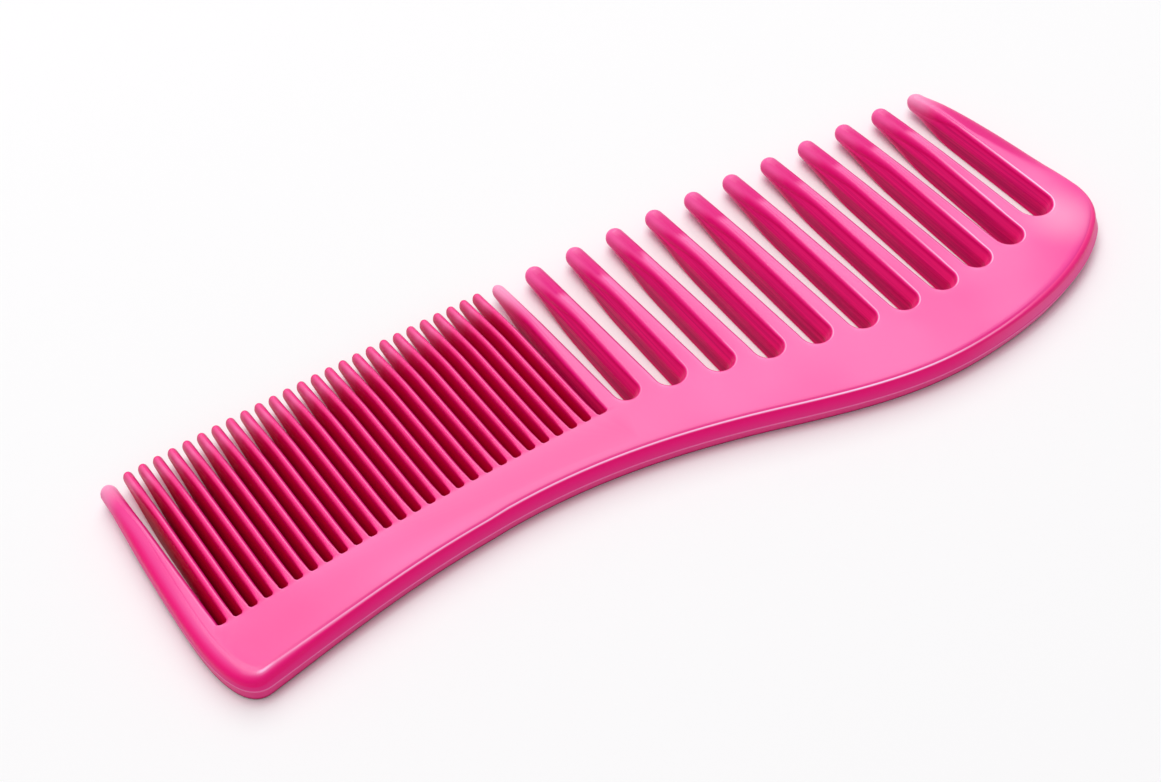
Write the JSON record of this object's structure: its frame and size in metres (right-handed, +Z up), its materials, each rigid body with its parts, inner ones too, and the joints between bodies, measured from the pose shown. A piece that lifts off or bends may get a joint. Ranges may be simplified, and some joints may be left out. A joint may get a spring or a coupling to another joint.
{
  "type": "wave comb",
  "caption": "Flat plastic wave comb with an S-curved spine, a bank of fine teeth, a bank of wide teeth and a broad guard tooth at each end and between the banks.",
  "frame": {"origin": "middle of the comb's bounding box on the underside it lies on", "axes": "+X along the comb from the fine-tooth heel to the wide-tooth end, +Y from the waved back to the tips of the teeth, +Z up through the thickness"},
  "size_m": [0.1806, 0.0634, 0.0055],
  "materials": {
    "spine_pink": "glossy hot pink moulded plastic",
    "guard_pink": "glossy pink, paler towards the thin tips",
    "fine_pink": "glossy deep pink, crowded ridges",
    "wide_pink": "glossy hot pink moulded plastic"
  },
  "bodies": {
    "root": {"spine": "spine_pink", "heel_guard": "guard_pink", "middle_guard": "guard_pink", "end_guard": "guard_pink", "fine_tooth_01": "fine_pink", "fine_tooth_02": "fine_pink", "fine_tooth_03": "fine_pink", "fine_tooth_04": "fine_pink", "fine_tooth_05": "fine_pink", "fine_tooth_06": "fine_pink", "fine_tooth_07": "fine_pink", "fine_tooth_08": "fine_pink", "fine_tooth_09": "fine_pink", "fine_tooth_10": "fine_pink", "fine_tooth_11": "fine_pink", "fine_tooth_12": "fine_pink", "fine_tooth_13": "fine_pink", "fine_tooth_14": "fine_pink", "fine_tooth_15": "fine_pink", "fine_tooth_16": "fine_pink", "fine_tooth_17": "fine_pink", "fine_tooth_18": "fine_pink", "fine_tooth_19": "fine_pink", "fine_tooth_20": "fine_pink", "fine_tooth_21": "fine_pink", "fine_tooth_22": "fine_pink", "fine_tooth_23": "fine_pink", "fine_tooth_24": "fine_pink", "fine_tooth_25": "fine_pink", "fine_tooth_26": "fine_pink", "wide_tooth_01": "wide_pink", "wide_tooth_02": "wide_pink", "wide_tooth_03": "wide_pink", "wide_tooth_04": "wide_pink", "wide_tooth_05": "wide_pink", "wide_tooth_06": "wide_pink", "wide_tooth_07": "wide_pink", "wide_tooth_08": "wide_pink", "wide_tooth_09": "wide_pink", "wide_tooth_10": "wide_pink"}
  },
  "joints": []
}
